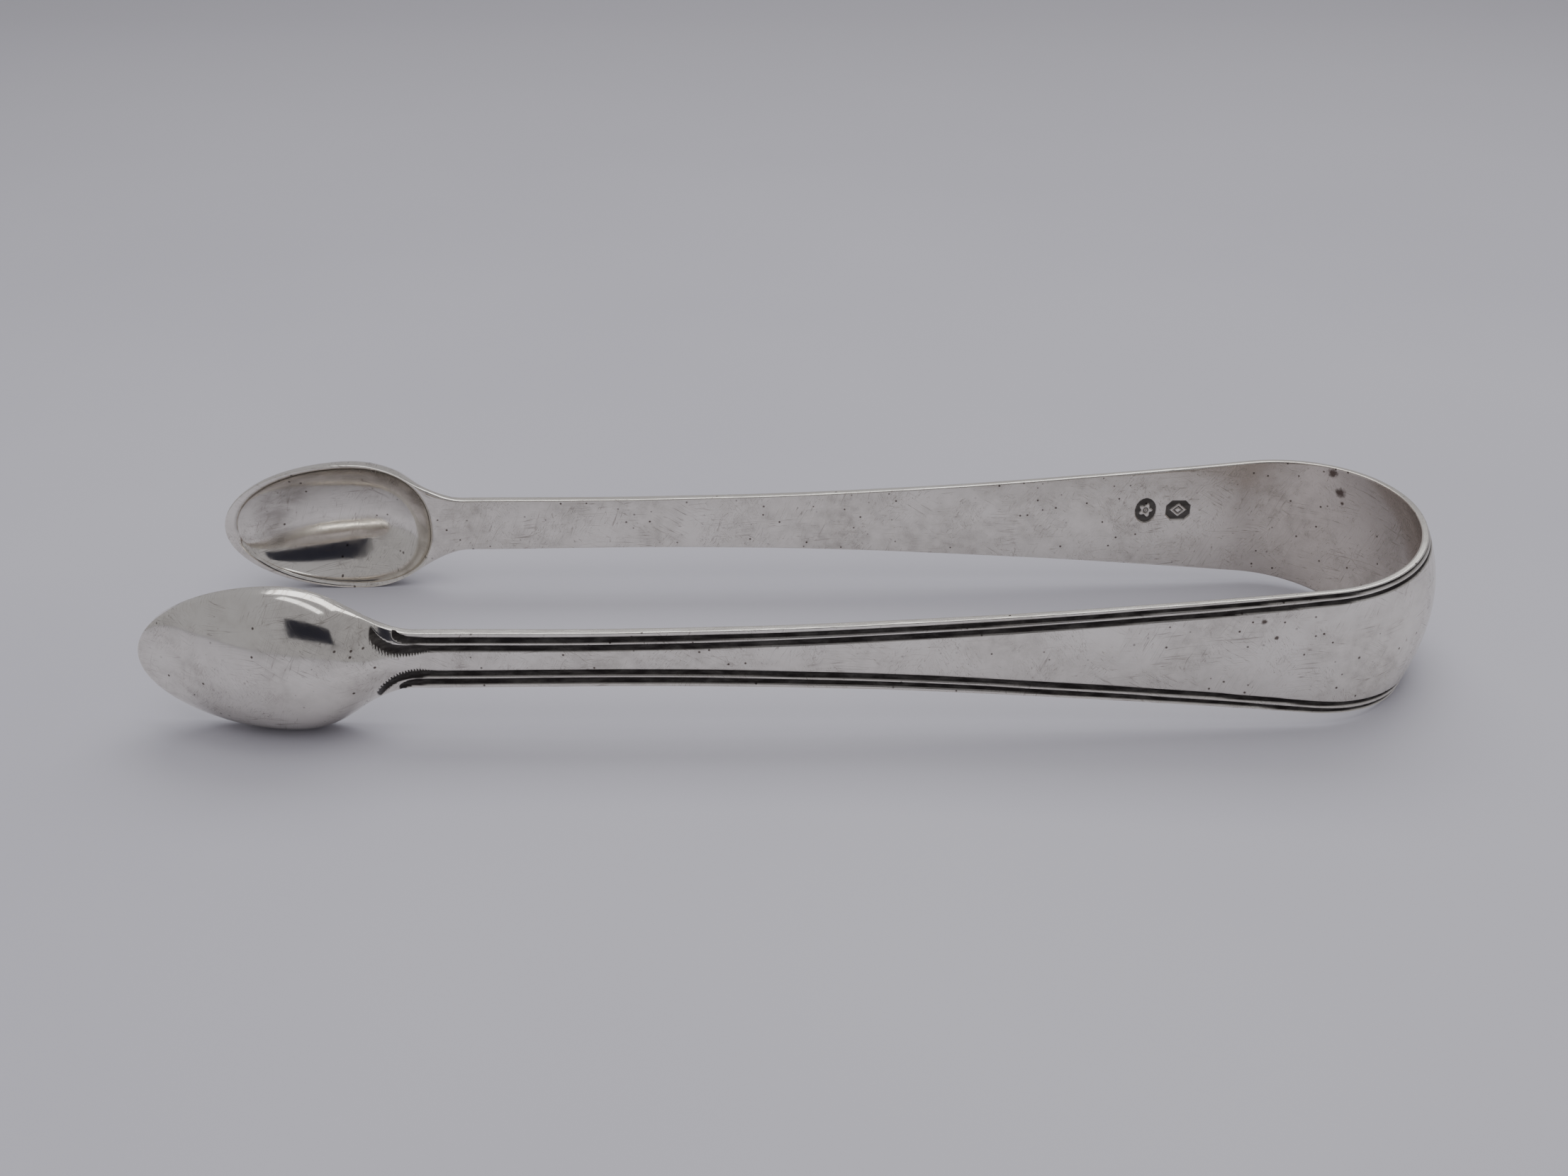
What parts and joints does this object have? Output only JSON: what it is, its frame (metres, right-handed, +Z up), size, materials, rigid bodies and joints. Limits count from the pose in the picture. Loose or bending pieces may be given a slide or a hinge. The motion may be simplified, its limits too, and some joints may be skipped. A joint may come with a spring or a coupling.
{
  "type": "ice tongs",
  "caption": "Sprung U-shaped silver tongs with a wide bow, tapering thread-edged arms and plain egg-shaped bowls, for lifting ice or sugar.",
  "frame": {"origin": "middle of the base as the tongs stand on edge", "axes": "+X from the bowls to the crown of the bow, Y is the way the arms squeeze together, +Z up across the width of the strip"},
  "size_m": [0.144, 0.0422, 0.0183],
  "materials": {
    "silver": "old hand-polished silver, finely scratched, dark oxide in the grooves",
    "silver_solder": "polished silver solder, slightly greyer than the strip"
  },
  "bodies": {
    "bow": {"bow": "silver"},
    "right_arm": {"right_arm": "silver", "right_bowl": "silver", "right_neck_solder": "silver_solder", "right_bow_solder": "silver_solder"},
    "left_arm": {"left_arm": "silver", "left_bowl": "silver", "left_neck_solder": "silver_solder", "left_bow_solder": "silver_solder"}
  },
  "joints": [
    {"name": "right_arm_flex", "type": "hinge", "parent": "bow", "child": "right_arm", "pos_m": [0.0657, 0.0104, 0.0091], "axis": [0, 0, 1], "range_deg": [-2, 6], "stiffness_Nm_per_rad": 2, "deforming": ["bow"]},
    {"name": "left_arm_flex", "type": "hinge", "parent": "bow", "child": "left_arm", "pos_m": [0.0657, -0.0104, 0.0091], "axis": [0, 0, -1], "range_deg": [-2, 6], "stiffness_Nm_per_rad": 2, "deforming": ["bow"]}
  ],
  "couplings": [
    {"joint": "left_arm_flex", "follows": "right_arm_flex", "ratio": 1}
  ]
}
